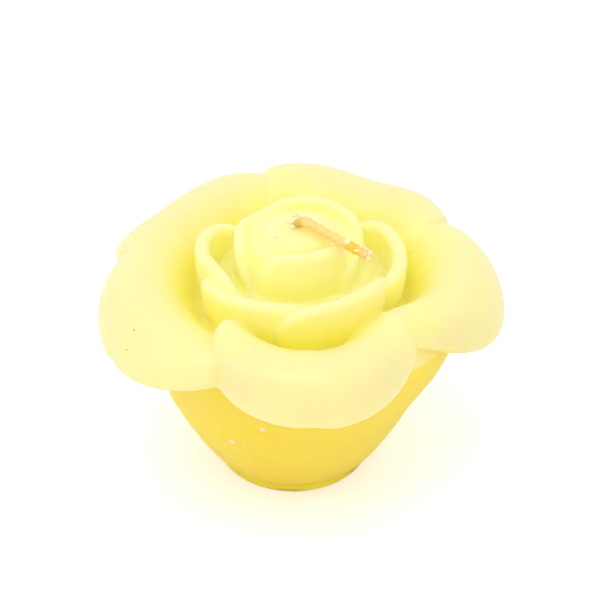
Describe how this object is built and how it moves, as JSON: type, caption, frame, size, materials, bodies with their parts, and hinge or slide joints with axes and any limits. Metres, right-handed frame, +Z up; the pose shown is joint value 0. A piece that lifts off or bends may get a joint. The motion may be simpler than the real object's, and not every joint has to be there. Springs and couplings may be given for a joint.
{
  "type": "floating candle",
  "caption": "Cast wax candle in the shape of an open rose, with rolled outer petals, a tapered body and a bent wick at the bud.",
  "frame": {"origin": "centre of the flat underside of the body", "axes": "+Z up through the flower, -Y towards the pictured side, +X to its right"},
  "size_m": [0.0733, 0.0758, 0.0528],
  "materials": {
    "wax": "smooth translucent cast wax",
    "wick": "braided cotton soaked in wax"
  },
  "bodies": {
    "root": {"rose": "wax", "wick": "wick"}
  },
  "joints": []
}
